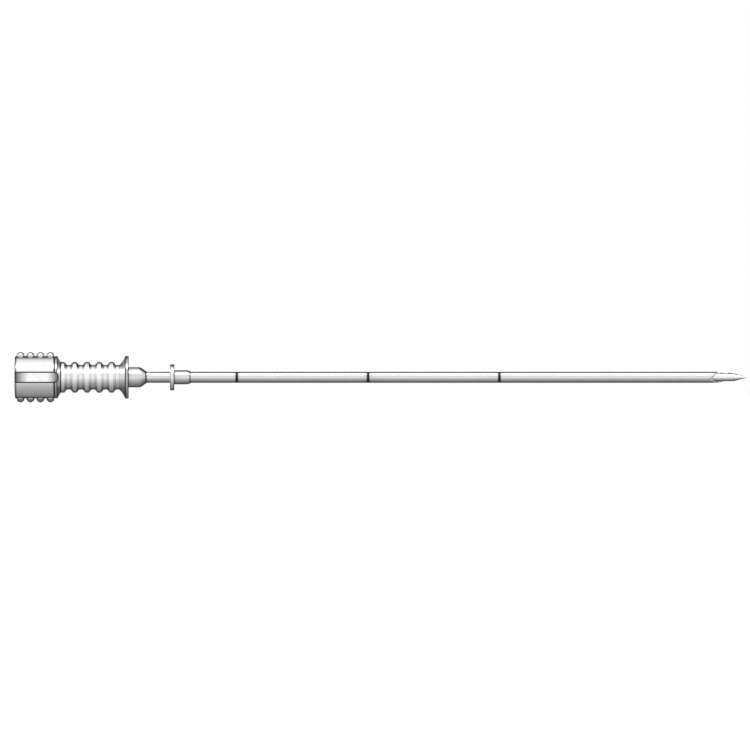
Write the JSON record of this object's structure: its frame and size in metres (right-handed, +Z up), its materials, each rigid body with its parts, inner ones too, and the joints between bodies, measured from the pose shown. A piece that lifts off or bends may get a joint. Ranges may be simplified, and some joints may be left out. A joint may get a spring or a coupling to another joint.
{
  "type": "liver biopsy needle",
  "caption": "Slender steel cannula with a ground bevel, a ribbed luer hub, a removable pointed stylet keyed to the hub, and a sliding depth stop.",
  "frame": {"origin": "centre of the hub's front face, on the needle's axis", "axes": "+X along the needle towards its point, +Z up with the knob's bead rows above and below, index key on the -Y side"},
  "size_m": [0.1397, 0.0084, 0.0096],
  "materials": {
    "nickel_plate": "satin nickel plate on turned brass",
    "drawn_steel": "drawn and fine ground",
    "polished_steel": "polished",
    "black_fill": "baked black fill",
    "silicone": "matt silicone"
  },
  "bodies": {
    "needle": {"hub_body": "nickel_plate", "nose_ferrule": "nickel_plate", "cannula": "drawn_steel", "depth_marks": "black_fill"},
    "stylet": {"stylet_cap": "nickel_plate", "index_key": "polished_steel", "stylet_plug": "polished_steel", "stylet_rod": "polished_steel"},
    "stop_grip": {"stop_ring": "silicone"},
    "stop": {"stop_disc": "nickel_plate", "stop_sleeve": "nickel_plate"}
  },
  "joints": [
    {"name": "stylet_pull", "type": "slide", "parent": "needle", "child": "stylet", "axis": [-1, 0, 0], "range_m": [0, 0.133]},
    {"name": "stop_slide", "type": "slide", "parent": "needle", "child": "stop_grip", "axis": [1, 0, 0], "range_m": [-0.0042, 0.0985]},
    {"name": "stop_turn", "type": "hinge", "parent": "stop_grip", "child": "stop", "pos_m": [0.00829, 0, 0], "axis": [1, 0, 0], "continuous": true}
  ]
}
